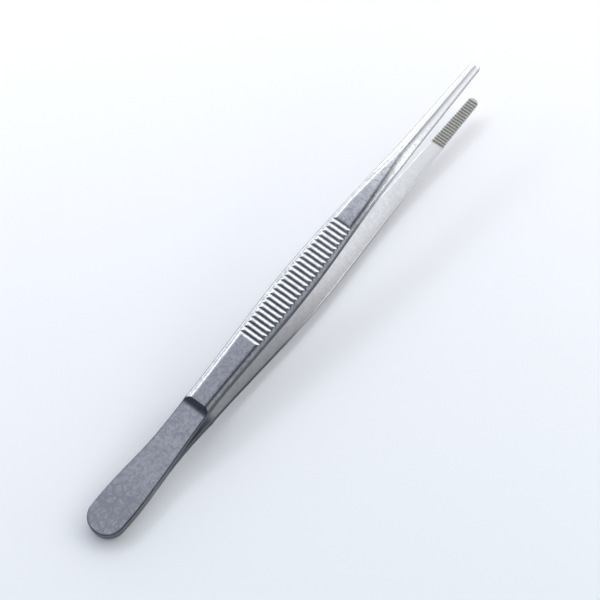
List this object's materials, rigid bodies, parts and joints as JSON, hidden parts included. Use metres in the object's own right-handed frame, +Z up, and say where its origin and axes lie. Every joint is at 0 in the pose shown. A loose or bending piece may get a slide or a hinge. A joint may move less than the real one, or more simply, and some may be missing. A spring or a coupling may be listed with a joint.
{
  "type": "thumb forceps",
  "caption": "Plain thumb forceps: sprung steel legs joined at a flat rounded heel, with a stepped shoulder, a bevelled and ribbed grip and slim jaws with cross teeth inside.",
  "frame": {"origin": "on the flat outer face of the lower leg's grip, halfway between the shoulder and the first rib, where the forceps rests on a table", "axes": "+X along the grip from the heel towards the jaws, +Y across the legs, +Z up from the table towards the upper leg"},
  "size_m": [0.1453, 0.0096, 0.0228],
  "materials": {
    "satin_steel": "satin forged stainless steel, finely blasted, with a faint mottle"
  },
  "bodies": {
    "root": {"upper_leg": "satin_steel", "lower_leg": "satin_steel"}
  },
  "joints": []
}
